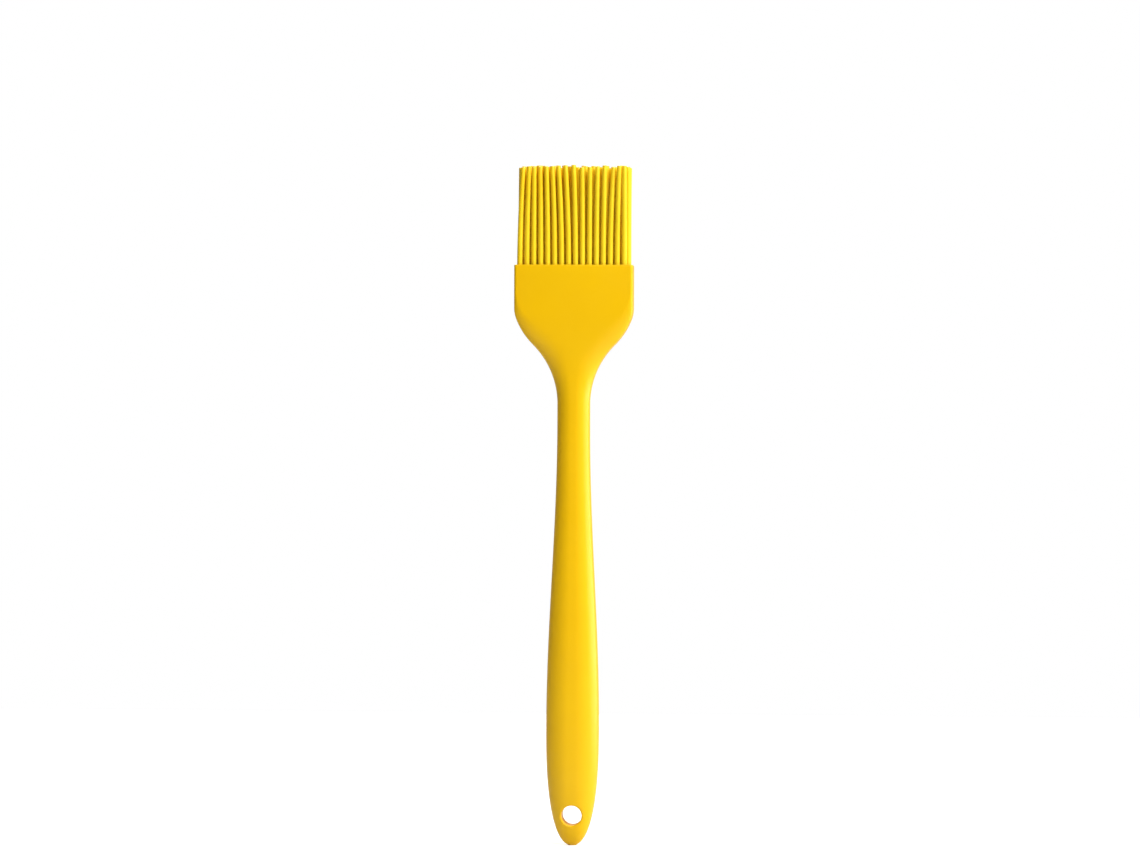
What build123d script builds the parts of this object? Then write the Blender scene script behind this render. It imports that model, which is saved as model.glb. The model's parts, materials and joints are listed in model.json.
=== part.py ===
from build123d import *
import math
import os

os.makedirs("parts", exist_ok=True)

# A silicone pastry brush. A stiff core runs inside a one-piece silicone handle and head, and a block
# carrying four rows of round bristles is moulded into the mouth of the head. Each row bends at its roots.
#
# Frame: the origin is the centre of the hanging hole. +Z runs along the handle to the bristle tips,
# +X runs across the width, and -Y points out of the front face. All lengths are in millimetres.

# Lengths along the brush
body_length = 179.2            # rounded end of the handle to the rim of the head
hole_from_end = 9.4            # rounded end to the centre of the hanging hole
head_side_length = 13.5        # straight sides below the rim
neck_length = 5.5              # straight neck below the shoulders
swell_from_end = 35.0          # rounded end to the fullest part of the grip
bristle_length = 30.8          # rim to the bristle tips

# Widths across X and thicknesses across Y
head_width = 36.6
neck_width = 10.05
swell_width = 16.3
head_thickness = 9.4
neck_thickness = 8.4
swell_thickness = 11.5

# Shoulders: three tangent arcs from the straight sides of the head to the neck
corner_radius = 9.0
corner_turn = 20.0             # degrees turned by the first arc
shoulder_radius = 22.0
throat_radius = 26.0           # the hollow arc into the neck
crown_rise = 5.0               # how far above the shoulders the flat faces start to crown
crown_pace = 1.5               # how much sooner they crown across the width than through the thickness

# Roundings
edge_radius = 0.8              # long edges of the head
rim_radius = 0.35              # edge round the mouth of the head
hole_edge_radius = 0.45
grip_roundness = 0.88          # curved share of a grip section, the rest being flats
end_width_fullness = 2.35      # 2 would be a plain ellipse seen from the front
end_thickness_fullness = 2.3   # the same seen from the side
tip_half_width = 1.2           # the small blunt spot at the end of the handle

hole_radius = 3.1

# Bristles: rows in Y, every second row set over by half a pitch
bristle_rows = 4
bristle_pitch = 2.15
root_radius = 0.85
tip_radius = 0.72
tip_edge_radius = 0.2

# Bristle block and its place in the mouth of the head
mouth_side_wall = 0.65         # least silicone between the block and each side of the head
mouth_face_wall = 0.88         # silicone between the block and the front or back face
block_wall = 0.12              # block left outside the outermost bristles
block_thickness = 4.6
block_corner_radius = 0.9
block_below_rim = 0.6
root_clearance = 0.05          # between a rounded bristle root and the block

# Stiff core: a flat bar with a wider paddle in the head
core_thickness = 4.0
paddle_side_cover = 7.3        # silicone between the paddle and the side of the head
shank_side_cover = 2.3         # silicone between the shank and the side of the neck
core_end_cover = 4.2           # silicone between the core and the hanging hole
shank_end_roundness = 0.95     # share of the shank's half width rounded off at its end
paddle_side_length = 12.0
tongue_depth = 2.4             # how far the paddle reaches up into the block
paddle_corner_radius = 2.0
lock_hole_radius = 2.0         # silicone flows through these and locks the core
lock_hole_spacing = 12.0

# Places that follow from the sizes above
end_z = -hole_from_end
rim_z = end_z + body_length
head_bottom_z = rim_z - head_side_length
crown_top_z = head_bottom_z + crown_rise
swell_z = end_z + swell_from_end
block_top_z = rim_z - block_below_rim
block_bottom_z = block_top_z - block_thickness
root_z = block_top_z + root_clearance + root_radius
tip_z = rim_z + bristle_length

corner_angle = math.radians(corner_turn)
width_drop = (head_width - neck_width) / 2
level_reach = corner_radius + throat_radius + (shoulder_radius - corner_radius) * math.cos(corner_angle)
slope_angle = math.acos((level_reach - width_drop) / (shoulder_radius + throat_radius))
corner_run = corner_radius * math.sin(corner_angle)
shoulder_run = shoulder_radius * (math.sin(slope_angle) - math.sin(corner_angle))
throat_run = throat_radius * math.sin(slope_angle)
neck_top_z = head_bottom_z - corner_run - shoulder_run - throat_run
neck_bottom_z = neck_top_z - neck_length


def ease(share):
    """Rise from 0 to 1 along half a cosine wave, level at both ends."""
    return (1 - math.cos(math.pi * min(max(share, 0), 1))) / 2


def end_taper(z, fullness):
    """Share of the swell's size that is left at a height between the swell and the rounded end."""
    share = min((swell_z - z) / swell_from_end, 1)
    return (1 - share**fullness) ** (1 / fullness)


def half_width(z):
    """Half the width of the silicone body at height z."""
    drop = head_bottom_z - z
    if drop <= 0:
        return head_width / 2
    if drop <= corner_run:
        return head_width / 2 - corner_radius + math.sqrt(corner_radius**2 - drop**2)
    if drop <= corner_run + shoulder_run:
        centre = head_width / 2 - corner_radius
        centre -= (shoulder_radius - corner_radius) * math.cos(corner_angle)
        reach = drop + (shoulder_radius - corner_radius) * math.sin(corner_angle)
        return centre + math.sqrt(shoulder_radius**2 - reach**2)
    if z >= neck_top_z:
        return neck_width / 2 + throat_radius - math.sqrt(throat_radius**2 - (z - neck_top_z) ** 2)
    if z >= swell_z:
        growth = ease((neck_bottom_z - z) / (neck_bottom_z - swell_z))
        return neck_width / 2 + (swell_width - neck_width) / 2 * growth
    return max(swell_width / 2 * end_taper(z, end_width_fullness), tip_half_width)


def half_thickness(z):
    """Half the thickness of the silicone body at height z."""
    if z >= neck_top_z:
        thinning = ease((head_bottom_z - z) / (head_bottom_z - neck_top_z))
        return head_thickness / 2 - (head_thickness - neck_thickness) / 2 * thinning
    if z >= swell_z:
        growth = ease((neck_bottom_z - z) / (neck_bottom_z - swell_z))
        return neck_thickness / 2 + (swell_thickness - neck_thickness) / 2 * growth
    tip_half_thickness = tip_half_width * swell_thickness / swell_width
    return max(swell_thickness / 2 * end_taper(z, end_thickness_fullness), tip_half_thickness)


def body_section(z):
    """One closed section of the body: four flats joined by four elliptical corners."""
    wide, thick = half_width(z), half_thickness(z)
    share = (crown_top_z - z) / (crown_top_z - neck_top_z)
    corner_x = edge_radius + (grip_roundness * wide - edge_radius) * ease(crown_pace * share)
    corner_y = edge_radius + (grip_roundness * thick - edge_radius) * ease(share)
    flat_x, flat_y = wide - corner_x, thick - corner_y
    quarter_arc = 4 / 3 * math.tan(math.pi / 8)
    pull_x, pull_y = flat_x + quarter_arc * corner_x, flat_y + quarter_arc * corner_y
    with BuildSketch(Plane.XY.offset(z)) as section:
        with BuildLine():
            Line((wide, -flat_y), (wide, flat_y))
            Bezier((wide, flat_y), (wide, pull_y), (pull_x, thick), (flat_x, thick))
            Line((flat_x, thick), (-flat_x, thick))
            Bezier((-flat_x, thick), (-pull_x, thick), (-wide, pull_y), (-wide, flat_y))
            Line((-wide, flat_y), (-wide, -flat_y))
            Bezier((-wide, -flat_y), (-wide, -pull_y), (-pull_x, -thick), (-flat_x, -thick))
            Line((-flat_x, -thick), (flat_x, -thick))
            Bezier((flat_x, -thick), (pull_x, -thick), (wide, -pull_y), (wide, -flat_y))
        make_face()
    return section.sketch


# Heights of the lofted sections, closer together where the outline bends more
crown_steps, shoulder_steps, grip_steps, end_steps = 2, 12, 9, 9
section_heights = []
for step in range(crown_steps):
    section_heights.append(crown_top_z - crown_rise * step / crown_steps)
for step in range(shoulder_steps + 1):
    section_heights.append(head_bottom_z + (neck_top_z - head_bottom_z) * step / shoulder_steps)
for step in range(grip_steps + 1):
    section_heights.append(neck_bottom_z + (swell_z - neck_bottom_z) * step / grip_steps)
for step in range(1, end_steps + 1):
    section_heights.append(swell_z - swell_from_end * math.sin(math.pi / 2 * step / end_steps))

# The stiff core: a straight shank, a paddle that fills the shoulders, and a tongue into the block
paddle_half_width = head_width / 2 - paddle_side_cover
shank_half_width = neck_width / 2 - shank_side_cover
core_top_z = block_bottom_z + tongue_depth
core_end_z = hole_radius + core_end_cover
paddle_bottom_z = core_top_z - paddle_side_length
lock_hole_z = (paddle_bottom_z + block_bottom_z) / 2
with BuildPart() as stiffening_core:
    with BuildSketch(Plane.XZ):
        with BuildLine():
            right_side = Polyline(
                (0, core_top_z),
                (paddle_half_width, core_top_z),
                (paddle_half_width, paddle_bottom_z),
                (shank_half_width, neck_top_z),
                (shank_half_width, core_end_z),
                (0, core_end_z),
            )
            mirror(right_side, about=Plane.YZ)
        make_face()
        with Locations((-lock_hole_spacing / 2, lock_hole_z), (lock_hole_spacing / 2, lock_hole_z)):
            Circle(lock_hole_radius, mode=Mode.SUBTRACT)
    extrude(amount=core_thickness / 2, both=True)
    shank_end = stiffening_core.edges().filter_by(Axis.Y).group_by(Axis.Z)[0]
    fillet(shank_end, shank_half_width * shank_end_roundness)
    paddle_top = stiffening_core.edges().filter_by(Axis.Y).group_by(Axis.Z)[-1]
    fillet(paddle_top, paddle_corner_radius)
stiffening_core.part.label = "stiffening_core"

# As many bristles in a row as the width takes, and rows spread over the thickness
side_room = head_width / 2 - mouth_side_wall - block_wall - root_radius - bristle_pitch / 4
bristles_per_row = int(2 * side_room / bristle_pitch) + 1
face_room = head_thickness / 2 - mouth_face_wall - block_wall - root_radius
row_spacing = 2 * face_room / (bristle_rows - 1)

# The bristle block: a plate that follows the tuft, slotted for the tongue of the core
tuft_half_width = (bristles_per_row - 1) * bristle_pitch / 2 + bristle_pitch / 4 + root_radius
tuft_half_thickness = (bristle_rows - 1) * row_spacing / 2 + root_radius
block_width = 2 * (tuft_half_width + block_wall)
block_depth = 2 * (tuft_half_thickness + block_wall)
with BuildPart() as bristle_block:
    with BuildSketch(Plane.XY.offset(block_bottom_z)):
        RectangleRounded(block_width, block_depth, block_corner_radius)
    extrude(amount=block_thickness)
    add(stiffening_core.part, mode=Mode.SUBTRACT)
bristle_block.part.label = "bristle_block"

# The silicone body: head, shoulders and grip round the core, open at the mouth for the block
with BuildPart() as silicone_body:
    add(body_section(crown_top_z))
    extrude(amount=head_side_length - crown_rise)
    fillet(silicone_body.faces().sort_by(Axis.Z)[-1].edges(), rim_radius)
    loft([body_section(z).face() for z in section_heights])
    with BuildSketch(Plane.XZ):
        Circle(hole_radius)
    extrude(amount=swell_thickness, both=True, mode=Mode.SUBTRACT)
    edge_reach = hole_radius + hole_edge_radius
    hole_edges = silicone_body.edges().filter_by_position(Axis.Z, -edge_reach, edge_reach)
    fillet(hole_edges, hole_edge_radius)
    with BuildSketch(Plane.XY.offset(block_bottom_z)):
        RectangleRounded(block_width, block_depth, block_corner_radius)
    extrude(amount=rim_z - block_bottom_z, mode=Mode.SUBTRACT)
    add(stiffening_core.part, mode=Mode.SUBTRACT)
silicone_body.part.label = "silicone_body"

# One bristle: a slightly tapered rod with a rounded root and a softened tip
with BuildPart() as bristle:
    with BuildSketch(Plane.XZ) as profile:
        with BuildLine():
            root_arc = CenterArc((0, root_z), root_radius, -90, 90)
            flank = Line(root_arc @ 1, (tip_radius, tip_z))
            tip = Line(flank @ 1, (0, tip_z))
            Line(tip @ 1, root_arc @ 0)
        make_face()
        tip_corner = profile.vertices().group_by(Axis.Z)[-1].sort_by(Axis.X)[-1]
        fillet(tip_corner, tip_edge_radius)
    revolve(axis=Axis.Z)

export_step(stiffening_core.part, "parts/stiffening_core.step")
export_step(bristle_block.part, "parts/bristle_block.step")
export_step(silicone_body.part, "parts/silicone_body.step")

# Four rows of bristles, counted from the front
for row in range(bristle_rows):
    row_y = (row - (bristle_rows - 1) / 2) * row_spacing
    stagger = bristle_pitch / 4 * (-1 if row % 2 == 0 else 1)
    first_x = stagger - (bristles_per_row - 1) / 2 * bristle_pitch
    places = [(first_x + index * bristle_pitch, row_y) for index in range(bristles_per_row)]
    with BuildPart() as bristle_row:
        with Locations(*places):
            add(bristle.part)
    bristle_row.part.label = f"bristle_row_{row + 1}"
    export_step(bristle_row.part, f"parts/bristle_row_{row + 1}.step")
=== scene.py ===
import json
import math
import random

import bmesh
import bpy
from bpy.props import FloatProperty, FloatVectorProperty, IntProperty, PointerProperty
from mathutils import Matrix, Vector


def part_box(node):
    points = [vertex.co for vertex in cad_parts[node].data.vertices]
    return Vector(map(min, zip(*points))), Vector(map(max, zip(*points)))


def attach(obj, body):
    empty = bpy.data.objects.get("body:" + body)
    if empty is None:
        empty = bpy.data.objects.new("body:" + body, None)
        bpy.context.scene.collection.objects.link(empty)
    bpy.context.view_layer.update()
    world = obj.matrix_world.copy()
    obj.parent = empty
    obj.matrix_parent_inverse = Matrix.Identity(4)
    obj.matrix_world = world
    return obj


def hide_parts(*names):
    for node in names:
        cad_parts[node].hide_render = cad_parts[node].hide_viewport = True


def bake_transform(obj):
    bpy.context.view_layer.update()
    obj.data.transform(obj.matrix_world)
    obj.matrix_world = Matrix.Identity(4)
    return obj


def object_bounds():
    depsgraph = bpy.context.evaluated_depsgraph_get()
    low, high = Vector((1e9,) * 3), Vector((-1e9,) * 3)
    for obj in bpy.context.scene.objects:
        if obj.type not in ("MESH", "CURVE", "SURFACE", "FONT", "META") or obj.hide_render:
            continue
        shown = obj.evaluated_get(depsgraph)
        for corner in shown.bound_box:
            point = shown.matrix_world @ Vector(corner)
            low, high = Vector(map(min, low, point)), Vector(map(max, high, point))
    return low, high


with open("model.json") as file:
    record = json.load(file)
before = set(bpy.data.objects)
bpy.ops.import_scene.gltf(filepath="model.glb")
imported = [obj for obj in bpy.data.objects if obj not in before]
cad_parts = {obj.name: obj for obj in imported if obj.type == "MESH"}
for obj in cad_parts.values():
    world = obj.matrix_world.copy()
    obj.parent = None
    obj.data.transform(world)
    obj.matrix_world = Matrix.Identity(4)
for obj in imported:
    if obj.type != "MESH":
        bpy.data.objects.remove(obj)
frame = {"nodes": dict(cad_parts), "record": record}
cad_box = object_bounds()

bl_info = {
    "name": "Silicone pastry brush",
    "version": (1, 0, 0),
    "blender": (4, 5, 0),
    "location": "3D View > Sidebar > Pastry Brush",
    "description": "Models the soft skin and the bristles of a silicone pastry brush "
                   "round its packed CAD parts",
    "category": "Add Mesh",
}

# Everything is in metres, in the frame of the CAD parts. The origin is the centre of the hanging
# hole, +Z runs up the handle to the bristle tips, and -Y points out of the front face.
MM = 0.001

BODY_LOW, BODY_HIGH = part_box("silicone_body")
BLOCK_LOW, BLOCK_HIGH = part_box("bristle_block")
ROWS = sorted(name for name in frame["nodes"] if name.startswith("bristle_row_"))
ROW_BOXES = {name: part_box(name) for name in ROWS}
HANGING_HOLE = frame["record"]["mounts"][0]

CORNER_STEPS = 12               # edges round one corner of a section
HOLE_STEPS = 64                 # edges round the hanging hole
ROUNDING_STEPS = 4              # edges across a rolled rim or hole edge
SMOOTH_BELOW = 40               # degrees: edges that turn by less are shaded smooth

# The handle skin
LEVEL = 0.01 * MM               # an edge this near to a height lies at that height
ON_PARTING = 0.001 * MM         # a vertex this near to the middle plane lies on the parting line
OUTER_SHARE = 0.985             # a vertex beyond this share of the half width is on the outside
BLUNT_STEP = 0.5                # size of the last ring at the end, as a share of the one before
CUTTER_LENGTH = 4               # in grip thicknesses, so that it passes right through

# One bristle
FLARE_HEIGHT = 0.4 * MM         # where the flare at the root has run out
FLARE_MIDDLE = 0.15 * MM        # where it is down to FLARE_LEFT of its spread
FLARE_LEFT = 0.3
TAPER_STEPS = 9                 # rings from the flare to the tip's edge
TIP_EDGE = 0.22 * MM            # rounding of the tip
TIP_BEND_DROP = 0.35            # how far the rounding's middle ring lies below the top,
TIP_BEND_INSET = 0.25           # and how far in from the side, in shares of TIP_EDGE
TIP_GRIP = 0.3 * MM             # this much of the tip is moved as one when a bristle is bent
ROOT_DEPTH = 0.05 * MM          # how deep the roots reach into the block

# Patterns in the silicone
CLOUD_SIZE = 26 * MM            # clouds in the pigment
SMUDGE_SIZE = 7 * MM            # duller smudges on the skin
PIT_SPACING = 3                 # pits between the grain, in grain sizes
PIT_SHARE = 0.5                 # their depth against the grain's
SMUDGE_ROUGHNESS = 0.12         # how far smudges and grain spread the roughness
GRAIN_ROUGHNESS = 0.06
BRISTLE_GRAIN = 0.3             # depth of the bristles' grain against the skin's
BLOCK_DULLNESS = 0.08           # how much rougher the block is than the skin

# Patterns in the glass-filled nylon
FIBRE_SIZE = 0.25 * MM          # thickness of the fibres
FIBRE_SQUEEZE = 0.12            # scale along the bar, which draws the fibres out
STREAK_SIZE = 3 * MM            # streaks where the melt flowed
FIBRE_DEPTH = 0.02 * MM         # how proud the fibres stand
FIBRE_SHARE = 0.6               # how far fibres and streaks pale the nylon
STREAK_SHARE = 0.3
PALE_FIBRE = 1.25               # how much paler a fibre is than the nylon
NYLON_ROUGHNESS = 0.5           # least roughness, and how much the fibres add
FIBRE_ROUGHNESS = 0.2
NYLON_IOR = 1.53                # index of refraction

# Sockets of a Mix node that mixes colours
MIX_SHARE, MIX_FIRST, MIX_SECOND, MIX_RESULT = 0, 6, 7, 2

SENSOR_WIDTH = 36               # millimetres
SOFTBOXES = (
    # name, azimuth and elevation in degrees, distance, (width, height), watts
    ("side_softbox", 94, -4, 0.7, (0.75, 0.2), 2.4),
    ("front_softbox", 46, 42, 1.3, (1.1, 0.8), 20.9),
    ("back_softbox", 195, 45, 1.3, (1.1, 0.8), 11),
)


# ---------------------------------------------------------------- sizes and finishes


def length_setting(name, description, millimetres):
    """A length, with its default given in millimetres."""
    return FloatProperty(
        name=name, description=description, default=millimetres * MM, unit="LENGTH")


def angle_setting(name, description, degrees):
    """An angle, with its default given in degrees."""
    return FloatProperty(
        name=name, description=description, default=math.radians(degrees), subtype="ANGLE")


def colour_setting(name, description, default):
    """A colour of red, green and blue shares."""
    return FloatVectorProperty(
        name=name, description=description, size=3, subtype="COLOR", default=default, min=0, max=1)


class HandleSizes(bpy.types.PropertyGroup):
    """Shape of the one-piece silicone skin: head, shoulders, neck and grip."""

    head_width: length_setting("Head width", "Across the flat head", 36.6)
    head_thickness: length_setting("Head thickness", "Front to back of the head", 9.4)
    head_side_length: length_setting(
        "Straight sides", "Height of the straight sides below the rim", 13.5)
    neck_width: length_setting("Neck width", "Across the narrowest part", 10.05)
    neck_thickness: length_setting("Neck thickness", "Front to back of the neck", 8.4)
    neck_length: length_setting("Neck length", "Straight stretch below the shoulders", 5.5)
    swell_width: length_setting("Grip width", "Across the fullest part of the grip", 16.3)
    swell_thickness: length_setting(
        "Grip thickness", "Front to back of the fullest part", 11.5)
    swell_from_end: length_setting("Grip height", "Rounded end to the fullest part", 35.0)
    corner_radius: length_setting("Shoulder corner", "First arc below the straight sides", 9.0)
    corner_turn: angle_setting("Corner turn", "Angle turned by the first arc", 20)
    shoulder_radius: length_setting("Shoulder radius", "Long arc of the shoulder", 22.0)
    throat_radius: length_setting("Throat radius", "Hollow arc into the neck", 26.0)
    edge_radius: length_setting("Head edges", "Rounding of the long edges of the head", 0.8)
    crown_rise: length_setting(
        "Crown rise", "How far above the shoulders the flat faces start to crown", 5.0)
    crown_pace: FloatProperty(
        name="Crown pace",
        description="How much sooner they crown across the width than through the thickness",
        default=1.5)
    rim_radius: length_setting("Rim edge", "Rounding round the mouth of the head", 0.35)
    mouth_radius: length_setting("Mouth edge", "Rounding inside the mouth", 0.12)
    mouth_corner: length_setting("Mouth corner", "Corner radius of the mouth", 0.9)
    grip_roundness: FloatProperty(
        name="Grip roundness", description="Curved share of a grip section",
        default=0.88, min=0.1, max=0.98)
    end_width_fullness: FloatProperty(
        name="End fullness, front", description="2 is a plain ellipse seen from the front",
        default=2.35)
    end_thickness_fullness: FloatProperty(
        name="End fullness, side", description="2 is a plain ellipse seen from the side",
        default=2.3)
    tip_half_width: length_setting(
        "Blunt spot", "Half the width of the blunt spot at the end", 1.2)
    hole_edge_radius: length_setting("Hole edge", "Rounding round the hanging hole", 0.45)
    parting_height: length_setting(
        "Parting line", "How proud the mould's parting line stands", 0.05)
    parting_width: length_setting(
        "Parting width", "Width of the parting line at its foot", 0.3)


class BristleSizes(bpy.types.PropertyGroup):
    """Shape of the round bristles and how unevenly they stand."""

    per_row: IntProperty(
        name="Bristles in a row", description="Counted across the head", default=16, min=2)
    root_radius: length_setting("Root radius", "Radius where a bristle leaves the block", 0.85)
    tip_radius: length_setting("Tip radius", "Radius just below the tip", 0.72)
    flare: length_setting("Root flare", "How far the root spreads on the block", 0.1)
    sides: IntProperty(name="Sides", description="Edges round one bristle", default=14, min=6)
    front_lean: length_setting("Front lean", "Sideways lean of the front row's tips", 0.7)
    lean: length_setting("Lean", "Sideways lean of the other rows' tips", 0.15)
    lean_waves: FloatProperty(
        name="Lean waves", description="Waves of lean across the tuft", default=1.2)
    stray: length_setting("Stray", "How far a tip strays by itself", 0.35)
    height_spread: length_setting("Height spread", "Unevenness of the tips", 0.8)
    seed: IntProperty(
        name="Seed", description="Changes which way each bristle strays", default=192521)


class SiliconeLook(bpy.types.PropertyGroup):
    """Colours and surface of the coloured silicone and of the nylon core."""

    colour: colour_setting("Silicone", "Colour of the silicone", (0.96, 0.57, 0.0))
    deep_colour: colour_setting(
        "Silicone, deep", "Colour where the pigment is denser", (0.91, 0.51, 0.0))
    # The bristles are the same silicone as the skin; their paler, yellower colour is painted
    # highlight, standing in for the light that their round sides catch.
    bristle_painted_highlight_colour: colour_setting(
        "Bristles", "Colour of the thinner silicone of the bristles", (0.99, 0.74, 0.025))
    core_colour: colour_setting("Core", "Colour of the glass-filled nylon", (0.62, 0.58, 0.50))
    roughness: FloatProperty(
        name="Roughness", description="Middle roughness of the skin", default=0.34)
    gloss: FloatProperty(
        name="Gloss", description="Index of refraction of the silicone", default=1.46)
    gloss_tint: colour_setting(
        "Gloss tint", "Colour of what the silicone reflects straight back", (1, 1, 0.66))
    grain_size: length_setting("Mould grain", "Spacing of the mould's fine texture", 0.28)
    grain_depth: length_setting("Grain depth", "Depth of the mould's fine texture", 0.012)


class StudioSettings(bpy.types.PropertyGroup):
    """Floor, lights and camera."""

    lens: FloatProperty(
        name="Lens", description="Focal length", default=135.0, subtype="DISTANCE_CAMERA")
    distance: length_setting("Camera distance", "Camera to brush", 1321)
    azimuth: angle_setting("Camera azimuth", "Camera's turn towards the right side", 4)
    roll: angle_setting("Camera roll", "Camera's turn about its own line of sight", 0.22)
    aim: FloatVectorProperty(
        name="Aim", description="Point in the middle of the frame", size=3,
        subtype="TRANSLATION", default=(-1.15 * MM, 0, 119.6 * MM))
    surround: FloatProperty(
        name="Surround", description="Light from all round", default=0.20)
    surround_slope: FloatVectorProperty(
        name="Surround slope",
        description="How much more of it comes from the right, from the back and from the top",
        size=3, default=(0.08, 0.14, 0))
    floor_size: length_setting("Floor", "Side of the square floor", 1200)
    floor_shade: FloatProperty(
        name="Floor shade", description="How pale the floor is", default=0.7)
    floor_roughness: FloatProperty(
        name="Floor roughness", description="Roughness of the floor", default=0.8)
    floor_glow: FloatProperty(
        name="Floor glow", description="Light that only the camera sees on the floor",
        default=0.5)


def settings():
    return bpy.context.scene.pastry_brush


# ---------------------------------------------------------------- shading nodes


class Reading:
    """A number that a node gives. Arithmetic on it adds Math nodes to the same tree."""

    def __init__(self, tree, socket):
        self.tree = tree
        self.socket = socket

    def maths(self, operation, first, second):
        return self.tree.node("Math", {"operation": operation}, {0: first, 1: second})

    def __add__(self, other):
        return self.maths("ADD", self, other)

    def __radd__(self, other):
        return self.maths("ADD", other, self)

    def __sub__(self, other):
        return self.maths("SUBTRACT", self, other)

    def __rsub__(self, other):
        return self.maths("SUBTRACT", other, self)

    def __mul__(self, other):
        return self.maths("MULTIPLY", self, other)

    def __rmul__(self, other):
        return self.maths("MULTIPLY", other, self)


class NodeTree:
    """One node tree, and the one way that nodes are added to it."""

    def __init__(self, tree):
        self.tree = tree
        tree.nodes.clear()

    def node(self, kind, setup=None, sockets=None, output=0):
        """Adds a node, sets it up, fills or links its sockets, and returns one of its outputs."""
        made = self.tree.nodes.new("ShaderNode" + kind)
        for name, value in (setup or {}).items():
            setattr(made, name, value)
        for name, value in (sockets or {}).items():
            if isinstance(value, Reading):
                self.tree.links.new(value.socket, made.inputs[name])
            else:
                made.inputs[name].default_value = value
        return Reading(self, made.outputs[output]) if made.outputs else None

    def noise(self, place, size, detail):
        """Noise whose lumps are about this size."""
        return self.node(
            "TexNoise", sockets={"Vector": place, "Scale": 1 / size, "Detail": detail})

    def mix_colours(self, share, first, second):
        return self.node(
            "Mix", {"data_type": "RGBA"},
            {MIX_SHARE: share, MIX_FIRST: (*first, 1), MIX_SECOND: (*second, 1)},
            output=MIX_RESULT)

    def surface(self, sockets):
        """Ends the tree in one Principled shader with these sockets."""
        shader = self.node("BsdfPrincipled", sockets=sockets)
        self.node("OutputMaterial", sockets={"Surface": shader})


def new_material(name):
    material = bpy.data.materials.new(name)
    material.use_nodes = True
    return material, NodeTree(material.node_tree)


def silicone(name, light, deep, roughness, grain_depth):
    """Pigmented silicone rubber: satin, with fine mould grain and faint clouds in the pigment."""
    look = settings().look
    material, tree = new_material(name)
    place = tree.node("TexCoord", output="Object")
    clouds = tree.noise(place, CLOUD_SIZE, detail=3)
    smudges = tree.noise(place, SMUDGE_SIZE, detail=4)
    grain = tree.noise(place, look.grain_size, detail=2)
    pits = tree.node(
        "TexVoronoi", sockets={"Vector": place, "Scale": 1 / (PIT_SPACING * look.grain_size)})
    relief = grain + PIT_SHARE * pits
    smoothest = roughness - (SMUDGE_ROUGHNESS + GRAIN_ROUGHNESS) / 2
    tree.surface({
        "Base Color": tree.mix_colours(clouds, light, deep),
        "Roughness": smoothest + SMUDGE_ROUGHNESS * smudges + GRAIN_ROUGHNESS * grain,
        "IOR": look.gloss,
        "Specular Tint": (*look.gloss_tint, 1),
        "Normal": tree.node(
            "Bump", sockets={"Strength": 1.0, "Distance": grain_depth, "Height": relief}),
    })
    return material


def core_nylon():
    """Glass-filled nylon: dull, with short pale fibres lying along the bar."""
    look = settings().look
    material, tree = new_material("core_nylon")
    place = tree.node("TexCoord", output="Object")
    along = tree.node("Mapping", sockets={"Vector": place, "Scale": (1, 1, FIBRE_SQUEEZE)})
    fibres = tree.noise(along, FIBRE_SIZE, detail=4)
    streaks = tree.noise(along, STREAK_SIZE, detail=2)
    pale = [min(1.0, shade * PALE_FIBRE) for shade in look.core_colour]
    tree.surface({
        "Base Color": tree.mix_colours(
            FIBRE_SHARE * fibres + STREAK_SHARE * streaks, look.core_colour, pale),
        "Roughness": NYLON_ROUGHNESS + FIBRE_ROUGHNESS * fibres,
        "IOR": NYLON_IOR,
        "Normal": tree.node(
            "Bump", sockets={"Strength": 1.0, "Distance": FIBRE_DEPTH, "Height": fibres}),
    })
    return material


# ---------------------------------------------------------------- modelling helpers


def start_clean():
    if bpy.context.mode != "OBJECT":
        bpy.ops.object.mode_set(mode="OBJECT")
    bpy.ops.object.select_all(action="DESELECT")


def select_only(*pieces):
    """Selects these objects and no others, and makes the first of them the active one."""
    start_clean()
    for piece in pieces:
        piece.select_set(True)
    bpy.context.view_layer.objects.active = pieces[0]


def pick(kind, wanted):
    """In edit mode, selects the VERT, EDGE or FACE elements that wanted(element) accepts."""
    bpy.ops.mesh.select_mode(type=kind)
    bpy.ops.mesh.select_all(action="DESELECT")
    mesh = bmesh.from_edit_mesh(bpy.context.edit_object.data)
    elements = {"VERT": mesh.verts, "EDGE": mesh.edges, "FACE": mesh.faces}[kind]
    found = [element for element in elements if wanted(element)]
    if not found:
        raise RuntimeError(f"no {kind} to work on")
    for element in found:
        element.select_set(True)
    mesh.select_flush_mode()
    bmesh.update_edit_mesh(bpy.context.edit_object.data)


def pick_open_edges(wanted):
    """Selects the open edges whose middle wanted(point) accepts."""
    def wanted_edge(edge):
        return edge.is_boundary and wanted((edge.verts[0].co + edge.verts[1].co) / 2)

    pick("EDGE", wanted_edge)


def pick_open_ring(z):
    """Selects the open edges that lie at height z."""
    pick_open_edges(lambda middle: abs(middle.z - z) < LEVEL)


def finish_piece(piece, name, material):
    """Names the piece, puts its place in its mesh, smooths it and gives it its material."""
    select_only(piece)
    bpy.ops.object.transform_apply(location=True, rotation=True, scale=True)
    bpy.ops.object.mode_set(mode="EDIT")
    bpy.ops.mesh.select_all(action="SELECT")
    bpy.ops.mesh.normals_make_consistent(inside=False)
    bpy.ops.object.mode_set(mode="OBJECT")
    bpy.ops.object.shade_smooth_by_angle(angle=math.radians(SMOOTH_BELOW))
    piece.name = piece.data.name = name
    give_finish(piece, material)
    return piece


def give_finish(piece, material):
    piece.data.materials.clear()
    piece.data.materials.append(material)


# ---------------------------------------------------------------- the handle skin


def ease(share):
    """Rise from 0 to 1 along half a cosine wave, level at both ends."""
    return (1 - math.cos(math.pi * min(max(share, 0), 1))) / 2


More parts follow.
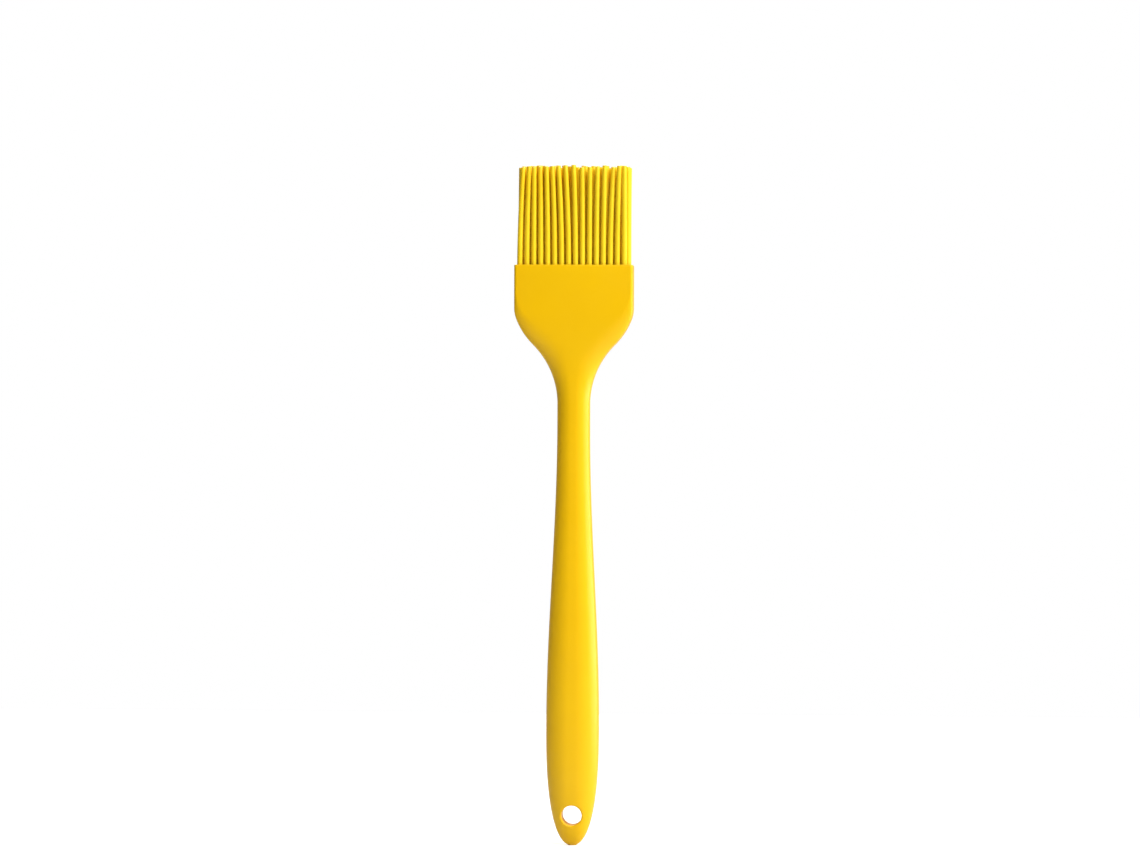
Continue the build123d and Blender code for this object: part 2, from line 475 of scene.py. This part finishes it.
def quarter_round(radius):
    """Steps round a quarter circle from its start: how far each is along, and how far in."""
    turns = [math.pi / 2 * step / ROUNDING_STEPS for step in range(ROUNDING_STEPS + 1)]
    return [(radius * math.sin(turn), radius * (1 - math.cos(turn))) for turn in turns]


class HandleShape:
    """Half widths and half thicknesses of the handle at any height, and its sections' heights."""

    def __init__(self, sizes):
        self.sizes = sizes
        self.end_z = BODY_LOW.z
        self.rim_z = BODY_HIGH.z
        self.head_bottom_z = self.rim_z - sizes.head_side_length
        self.crown_top_z = self.head_bottom_z + sizes.crown_rise
        self.swell_z = self.end_z + sizes.swell_from_end
        corner, shoulder, throat = sizes.corner_radius, sizes.shoulder_radius, sizes.throat_radius
        width_drop = (sizes.head_width - sizes.neck_width) / 2
        self.long_arc = shoulder - corner
        level_reach = corner + throat + self.long_arc * math.cos(sizes.corner_turn)
        slope = math.acos((level_reach - width_drop) / (shoulder + throat))
        self.corner_run = corner * math.sin(sizes.corner_turn)
        self.shoulder_run = shoulder * (math.sin(slope) - math.sin(sizes.corner_turn))
        throat_run = throat * math.sin(slope)
        self.neck_top_z = self.head_bottom_z - self.corner_run - self.shoulder_run - throat_run
        self.neck_bottom_z = self.neck_top_z - sizes.neck_length

    def growth(self, z):
        """Share of the way from neck to swell."""
        return ease((self.neck_bottom_z - z) / (self.neck_bottom_z - self.swell_z))

    def end_taper(self, z, fullness):
        share = min((self.swell_z - z) / self.sizes.swell_from_end, 1)
        return (1 - share**fullness) ** (1 / fullness)

    def half_width(self, z):
        sizes = self.sizes
        head, neck, swell = sizes.head_width / 2, sizes.neck_width / 2, sizes.swell_width / 2
        drop = self.head_bottom_z - z
        if drop <= 0:
            return head
        if drop <= self.corner_run:
            return head - sizes.corner_radius + math.sqrt(sizes.corner_radius**2 - drop**2)
        if drop <= self.corner_run + self.shoulder_run:
            centre = head - sizes.corner_radius - self.long_arc * math.cos(sizes.corner_turn)
            reach = drop + self.long_arc * math.sin(sizes.corner_turn)
            return centre + math.sqrt(sizes.shoulder_radius**2 - reach**2)
        if z >= self.neck_top_z:
            rise = z - self.neck_top_z
            return neck + sizes.throat_radius - math.sqrt(sizes.throat_radius**2 - rise**2)
        if z >= self.swell_z:
            return neck + (swell - neck) * self.growth(z)
        return max(swell * self.end_taper(z, sizes.end_width_fullness), sizes.tip_half_width)

    def half_thickness(self, z):
        sizes = self.sizes
        head, neck = sizes.head_thickness / 2, sizes.neck_thickness / 2
        swell = sizes.swell_thickness / 2
        if z >= self.neck_top_z:
            drop = (self.head_bottom_z - z) / (self.head_bottom_z - self.neck_top_z)
            return head - (head - neck) * ease(drop)
        if z >= self.swell_z:
            return neck + (swell - neck) * self.growth(z)
        blunt = sizes.tip_half_width * sizes.swell_thickness / sizes.swell_width
        return max(swell * self.end_taper(z, sizes.end_thickness_fullness), blunt)

    def section(self, z):
        """Half width, half thickness, and the corner's reach across and through, at height z."""
        wide, thick, sizes = self.half_width(z), self.half_thickness(z), self.sizes
        share = (self.crown_top_z - z) / (self.crown_top_z - self.neck_top_z)
        spread = sizes.grip_roundness * wide - sizes.edge_radius
        depth = sizes.grip_roundness * thick - sizes.edge_radius
        corner_x = sizes.edge_radius + spread * ease(sizes.crown_pace * share)
        corner_y = sizes.edge_radius + depth * ease(share)
        return wide, thick, corner_x, corner_y

    def heights(self):
        """Heights of the sections from the rounded end to the foot of the rim's edge."""
        end_steps = 24
        side_top_z = self.rim_z - self.sizes.rim_radius
        made = []
        for step in range(end_steps, 0, -1):
            turn = math.pi / 2 * step / end_steps
            made.append(self.swell_z - self.sizes.swell_from_end * math.sin(turn))
        stretches = (   # from, to, and how many sections
            (self.swell_z, self.neck_bottom_z, 34),
            (self.neck_bottom_z, self.neck_top_z, 1),
            (self.neck_top_z, self.head_bottom_z, 30),
            (self.head_bottom_z, self.crown_top_z, 5),
            (self.crown_top_z, side_top_z, 4),
        )
        for low, high, steps in stretches:
            made += [low + (high - low) * step / steps for step in range(steps)]
        return made + [side_top_z]


def add_ring(z, wide, thick, corner_x, corner_y):
    """Adds one closed ring in edit mode: four flats joined by four rounded corners."""
    bpy.ops.mesh.select_all(action="DESELECT")
    bpy.ops.mesh.primitive_plane_add(size=2 * wide, location=(0, 0, z))
    bpy.ops.transform.resize(value=(1, thick / wide * corner_x / corner_y, 1))
    bpy.ops.mesh.bevel(
        offset_type="OFFSET", offset=corner_x, segments=CORNER_STEPS, affect="VERTICES",
        clamp_overlap=False)
    bpy.ops.transform.resize(value=(1, corner_y / corner_x, 1))
    bpy.ops.mesh.delete(type="ONLY_FACE")


def add_outside(shape):
    """The outside of the skin, from the blunt spot at the end to the flat top of the rim."""
    sizes = shape.sizes
    for z in shape.heights():
        add_ring(z, *shape.section(z))
    for rise, inset in quarter_round(sizes.rim_radius)[1:]:
        add_ring(
            shape.rim_z - sizes.rim_radius + rise,
            sizes.head_width / 2 - inset,
            sizes.head_thickness / 2 - inset,
            sizes.edge_radius - inset,
            sizes.edge_radius - inset)
    bpy.ops.mesh.select_all(action="SELECT")
    bpy.ops.mesh.bridge_edge_loops(type="SINGLE")


def add_mouth(shape):
    """The mouth: a small edge, then straight walls down to the foot of the bristle block."""
    sizes = shape.sizes
    for rise, outset in reversed(quarter_round(sizes.mouth_radius)):
        corner = sizes.mouth_corner + outset
        add_ring(
            shape.rim_z - sizes.mouth_radius + rise,
            BLOCK_HIGH.x + outset,
            BLOCK_HIGH.y + outset,
            corner,
            corner)
    add_ring(BLOCK_LOW.z, BLOCK_HIGH.x, BLOCK_HIGH.y, sizes.mouth_corner, sizes.mouth_corner)
    bpy.ops.mesh.select_mode(type="EDGE")
    bpy.ops.mesh.select_all(action="DESELECT")
    bpy.ops.mesh.select_non_manifold(
        use_boundary=False, use_multi_face=False, use_non_contiguous=False)
    bpy.ops.mesh.bridge_edge_loops(type="SINGLE")
    pick_open_ring(shape.rim_z)
    bpy.ops.mesh.bridge_edge_loops()
    pick_open_ring(BLOCK_LOW.z)
    bpy.ops.mesh.edge_face_add()


def close_end(shape):
    pick_open_ring(shape.end_z)
    bpy.ops.mesh.extrude_region_move()
    bpy.ops.transform.resize(value=(BLUNT_STEP, BLUNT_STEP, 1))
    bpy.ops.mesh.extrude_region_move()
    bpy.ops.mesh.merge(type="CENTER")


def add_hanging_hole(skin, shape):
    """Cuts the hanging hole, then rolls its two edges in and joins them by a straight wall."""
    edge = shape.sizes.hole_edge_radius
    cut_radius = HANGING_HOLE["dims"]["r_mm"] * MM + edge
    start_clean()
    bpy.ops.mesh.primitive_cylinder_add(
        vertices=HOLE_STEPS, radius=cut_radius,
        depth=CUTTER_LENGTH * shape.sizes.swell_thickness, rotation=(math.pi / 2, 0, 0))
    cutter = bpy.context.active_object
    cut = skin.modifiers.new("hanging hole", "BOOLEAN")
    cut.operation = "DIFFERENCE"
    cut.solver = "EXACT"
    cut.object = cutter
    bpy.context.view_layer.objects.active = skin
    bpy.ops.object.modifier_apply(modifier=cut.name)
    bpy.data.objects.remove(cutter)

    def in_hole(face):
        middle = face.calc_center_median()
        return math.hypot(middle.x, middle.z) < cut_radius

    bpy.ops.object.mode_set(mode="EDIT")
    pick("FACE", in_hole)
    bpy.ops.mesh.delete(type="FACE")
    for side in (-1, 1):
        pick_open_edges(lambda middle: middle.y * side > 0)
        reach, depth = cut_radius, 0
        for advance, next_depth in quarter_round(edge)[1:]:
            next_reach = cut_radius - advance
            bpy.ops.mesh.extrude_region_move()
            shrink = next_reach / reach
            bpy.ops.transform.resize(value=(shrink, 1, shrink), center_override=(0, 0, 0))
            bpy.ops.transform.translate(value=(0, side * (depth - next_depth), 0))
            reach, depth = next_reach, next_depth
    pick_open_edges(lambda middle: True)
    bpy.ops.mesh.bridge_edge_loops()
    bpy.ops.object.mode_set(mode="OBJECT")


def raise_parting_line(shape):
    """Lifts a thin ridge along both sides, where the two halves of the mould meet."""
    sizes = shape.sizes
    ridge_top_z = shape.rim_z - sizes.rim_radius
    bpy.ops.object.mode_set(mode="EDIT")
    for cut_y in (-sizes.parting_width / 2, 0, sizes.parting_width / 2):
        bpy.ops.mesh.select_all(action="SELECT")
        bpy.ops.mesh.bisect(plane_co=(0, cut_y, 0), plane_no=(0, 1, 0))

    def on_ridge(vertex):
        x, y, z = vertex.co
        outside = abs(x) > OUTER_SHARE * shape.half_width(z)
        return outside and abs(y) < ON_PARTING and z < ridge_top_z

    pick("VERT", on_ridge)
    bpy.ops.transform.shrink_fatten(value=sizes.parting_height)
    bpy.ops.object.mode_set(mode="OBJECT")


class BRUSH_OT_handle_skin(bpy.types.Operator):
    """Model the one-piece silicone skin of the head, shoulders and grip"""

    bl_idname = "brush.handle_skin"
    bl_label = "Handle Skin"

    def execute(self, context):
        shape, look = HandleShape(settings().handle), settings().look
        start_clean()
        bpy.ops.mesh.primitive_plane_add()
        skin = context.active_object
        bpy.ops.object.mode_set(mode="EDIT")
        bpy.ops.mesh.delete(type="VERT")
        add_outside(shape)
        close_end(shape)
        add_mouth(shape)
        bpy.ops.mesh.select_all(action="SELECT")
        bpy.ops.mesh.normals_make_consistent(inside=False)
        bpy.ops.object.mode_set(mode="OBJECT")
        add_hanging_hole(skin, shape)
        raise_parting_line(shape)
        finish = silicone(
            "skin_silicone", look.colour, look.deep_colour, look.roughness, look.grain_depth)
        finish_piece(skin, "handle_skin", finish)
        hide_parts("silicone_body")
        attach(skin, "handle")
        return {"FINISHED"}


# ---------------------------------------------------------------- the bristles


def bristle_profile(sizes, length):
    """Heights and radii of a bristle's rings above its foot: flare, taper and softened tip."""
    profile = [
        (FLARE_MIDDLE, sizes.root_radius + FLARE_LEFT * sizes.flare),
        (FLARE_HEIGHT, sizes.root_radius)]
    for step in range(1, TAPER_STEPS + 1):
        share = step / TAPER_STEPS
        height = FLARE_HEIGHT + (length - TIP_EDGE - FLARE_HEIGHT) * share
        radius = sizes.root_radius + (sizes.tip_radius - sizes.root_radius) * share
        profile.append((height, radius))
    profile.append(
        (length - TIP_BEND_DROP * TIP_EDGE, sizes.tip_radius - TIP_BEND_INSET * TIP_EDGE))
    profile.append((length, sizes.tip_radius - TIP_EDGE))
    return profile


def add_bristle(sizes, root_z, tip_z):
    """One straight bristle standing on the block at x = y = 0."""
    start_clean()
    radius = sizes.root_radius + sizes.flare
    bpy.ops.mesh.primitive_circle_add(
        vertices=sizes.sides, radius=radius, fill_type="NGON", location=(0, 0, root_z))
    bristle = bpy.context.active_object
    bpy.ops.object.transform_apply(location=True)
    bpy.ops.object.mode_set(mode="EDIT")
    bpy.ops.mesh.select_all(action="SELECT")
    height = 0
    for next_height, next_radius in bristle_profile(sizes, tip_z - root_z):
        bpy.ops.mesh.extrude_region_move(
            TRANSFORM_OT_translate={"value": (0, 0, next_height - height)})
        bpy.ops.transform.resize(value=(next_radius / radius, next_radius / radius, 1))
        height, radius = next_height, next_radius
    bpy.ops.object.mode_set(mode="OBJECT")
    return bristle


def bend_bristle(bristle, tip_z, length, shift):
    """Moves the tip by shift, and less and less down to the root, as a bristle flexes."""
    bpy.context.view_layer.objects.active = bristle
    bpy.ops.object.mode_set(mode="EDIT")
    pick("VERT", lambda vertex: vertex.co.z > tip_z - TIP_GRIP)
    bpy.ops.transform.translate(
        value=shift, use_proportional_edit=True, proportional_edit_falloff="SHARP",
        proportional_size=length)
    bpy.ops.object.mode_set(mode="OBJECT")


class BRUSH_OT_bristles(bpy.types.Operator):
    """Model one bristle and stand copies of it on the block, row by row"""

    bl_idname = "brush.bristles"
    bl_label = "Bristles"

    def execute(self, context):
        sizes, look = settings().bristles, settings().look
        draw = random.Random(sizes.seed)
        # The bristles' base colour is the skin's silicone lightened by painted highlight; its
        # clouds run from that paler colour to the skin's own colour.
        finish = silicone(
            "bristle_silicone", look.bristle_painted_highlight_colour, look.colour, look.roughness,
            BRISTLE_GRAIN * look.grain_depth)
        root_z = BLOCK_HIGH.z - ROOT_DEPTH
        for number, name in enumerate(ROWS, start=1):
            low, high = ROW_BOXES[name]
            tip_z = high.z
            row_y = (low.y + high.y) / 2
            first_x = low.x + sizes.root_radius
            pitch = (high.x - low.x - 2 * sizes.root_radius) / (sizes.per_row - 1)
            lean = sizes.front_lean if number == 1 else sizes.lean
            pattern = add_bristle(sizes, root_z, tip_z)
            copies = []
            for index in range(sizes.per_row):
                select_only(pattern)
                bpy.ops.object.duplicate()
                bristle = context.active_object
                wave = math.cos(2 * math.pi * sizes.lean_waves * index / (sizes.per_row - 1))
                shift = (
                    lean * wave + draw.uniform(-1, 1) * sizes.stray,
                    draw.uniform(-1, 1) * sizes.stray,
                    draw.uniform(-1, 0) * sizes.height_spread)
                bend_bristle(bristle, tip_z, tip_z - root_z, shift)
                bristle.location = (first_x + index * pitch, row_y, 0)
                copies.append(bristle)
            bpy.data.objects.remove(pattern)
            select_only(*copies)
            bpy.ops.object.join()
            row = finish_piece(copies[0], f"soft_bristles_{number}", finish)
            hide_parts(name)
            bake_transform(row)
        return {"FINISHED"}


# ---------------------------------------------------------------- the parts that stay as CAD nodes


class BRUSH_OT_block_finish(bpy.types.Operator):
    """Give the bristle block its silicone finish"""

    bl_idname = "brush.block_finish"
    bl_label = "Block Finish"

    def execute(self, context):
        look = settings().look
        finish = silicone(
            "block_silicone", look.colour, look.deep_colour, look.roughness + BLOCK_DULLNESS,
            look.grain_depth)
        give_finish(frame["nodes"]["bristle_block"], finish)
        return {"FINISHED"}


class BRUSH_OT_core_finish(bpy.types.Operator):
    """Give the stiff core its glass-filled nylon finish"""

    bl_idname = "brush.core_finish"
    bl_label = "Core Finish"

    def execute(self, context):
        give_finish(frame["nodes"]["stiffening_core"], core_nylon())
        return {"FINISHED"}


# ---------------------------------------------------------------- the studio


def direction(azimuth, elevation):
    """Unit vector from the brush: azimuth 0 is out of the front, and 90 degrees the right side."""
    flat = math.cos(elevation)
    return Vector((math.sin(azimuth) * flat, -math.cos(azimuth) * flat, math.sin(elevation)))


def aim_at(thing, place, target):
    thing.location = place
    thing.rotation_euler = (target - place).to_track_quat("-Z", "Y").to_euler()


def add_floor(studio):
    """A pale floor at the brush's lower end, with a glow that only the camera sees."""
    shade, glow = studio.floor_shade, studio.floor_glow
    bpy.ops.mesh.primitive_plane_add(size=studio.floor_size, location=(0, 0, cad_box[0].z))
    floor = bpy.context.active_object
    floor.name = floor.data.name = "floor"
    material, tree = new_material("pale_floor")
    seen = tree.node("LightPath", output="Is Camera Ray")
    tree.surface({
        "Base Color": (shade, shade, shade, 1),
        "Roughness": studio.floor_roughness,
        "Emission Color": tree.mix_colours(seen, (0, 0, 0), (glow, glow, glow)),
        "Emission Strength": 1.0,
    })
    give_finish(floor, material)


def add_surround(studio, scene):
    """A world that the camera sees white, and that lights the brush more from the back right."""
    world = bpy.data.worlds.new("studio")
    scene.world = world
    world.use_nodes = True
    tree = NodeTree(world.node_tree)
    seen = tree.node("LightPath", output="Is Camera Ray")
    towards = tree.node("TexCoord", output="Generated")
    slope = tree.node(
        "VectorMath", {"operation": "DOT_PRODUCT"}, {0: towards, 1: studio.surround_slope},
        output="Value")
    glow = studio.surround + slope
    sky = tree.node(
        "Background", sockets={"Color": (1, 1, 1, 1), "Strength": glow + (1 - glow) * seen})
    tree.node("OutputWorld", sockets={"Surface": sky})


def add_softbox(name, azimuth, elevation, distance, size, power):
    """A rectangular lamp that faces the middle of the brush."""
    start_clean()
    bpy.ops.object.light_add(type="AREA")
    lamp = bpy.context.active_object
    lamp.name = lamp.data.name = name
    lamp.data.shape = "RECTANGLE"
    lamp.data.size, lamp.data.size_y = size
    lamp.data.energy = power
    lamp.visible_camera = False
    middle = (cad_box[0] + cad_box[1]) / 2
    away = direction(math.radians(azimuth), math.radians(elevation))
    aim_at(lamp, middle + away * distance, middle)


def add_camera(studio, scene):
    bpy.ops.object.camera_add()
    camera = bpy.context.active_object
    camera.name = camera.data.name = "camera"
    camera.data.lens = studio.lens
    camera.data.sensor_width = SENSOR_WIDTH
    aim = Vector(studio.aim)
    aim_at(camera, aim + direction(studio.azimuth, 0) * studio.distance, aim)
    camera.rotation_euler.rotate_axis("Z", studio.roll)
    scene.camera = camera
    scene.view_settings.view_transform = "Standard"


class BRUSH_OT_studio(bpy.types.Operator):
    """Add the pale floor, the soft lights and the camera"""

    bl_idname = "brush.studio"
    bl_label = "Studio"

    def execute(self, context):
        studio = settings().studio
        start_clean()
        add_floor(studio)
        add_surround(studio, context.scene)
        for softbox in SOFTBOXES:
            add_softbox(*softbox)
        add_camera(studio, context.scene)
        return {"FINISHED"}


# ---------------------------------------------------------------- panel and registration


class BrushSettings(bpy.types.PropertyGroup):
    """All the settings of the brush, kept on the scene."""

    handle: PointerProperty(type=HandleSizes)
    bristles: PointerProperty(type=BristleSizes)
    look: PointerProperty(type=SiliconeLook)
    studio: PointerProperty(type=StudioSettings)


class BRUSH_PT_panel(bpy.types.Panel):
    """Lists the operators and the settings in the sidebar"""

    bl_idname = "BRUSH_PT_panel"
    bl_label = "Pastry Brush"
    bl_space_type = "VIEW_3D"
    bl_region_type = "UI"
    bl_category = "Pastry Brush"

    def draw(self, context):
        for operator in OPERATORS:
            self.layout.operator(operator.bl_idname)
        brush = settings()
        for group in (brush.handle, brush.bristles, brush.look, brush.studio):
            box = self.layout.box()
            for name in group.bl_rna.properties.keys():
                if name not in ("rna_type", "name"):
                    box.prop(group, name)


OPERATORS = (
    BRUSH_OT_handle_skin,
    BRUSH_OT_bristles,
    BRUSH_OT_block_finish,
    BRUSH_OT_core_finish,
    BRUSH_OT_studio,
)
GROUPS = (HandleSizes, BristleSizes, SiliconeLook, StudioSettings, BrushSettings)
CLASSES = (*GROUPS, *OPERATORS, BRUSH_PT_panel)


def register():
    for made_class in CLASSES:
        bpy.utils.register_class(made_class)
    bpy.types.Scene.pastry_brush = PointerProperty(type=BrushSettings)


def unregister():
    del bpy.types.Scene.pastry_brush
    for made_class in reversed(CLASSES):
        bpy.utils.unregister_class(made_class)


def main():
    register()
    bpy.ops.brush.handle_skin()
    bpy.ops.brush.bristles()
    bpy.ops.brush.block_finish()
    bpy.ops.brush.core_finish()
    bpy.ops.brush.studio()


if __name__ == "__main__":
    main()
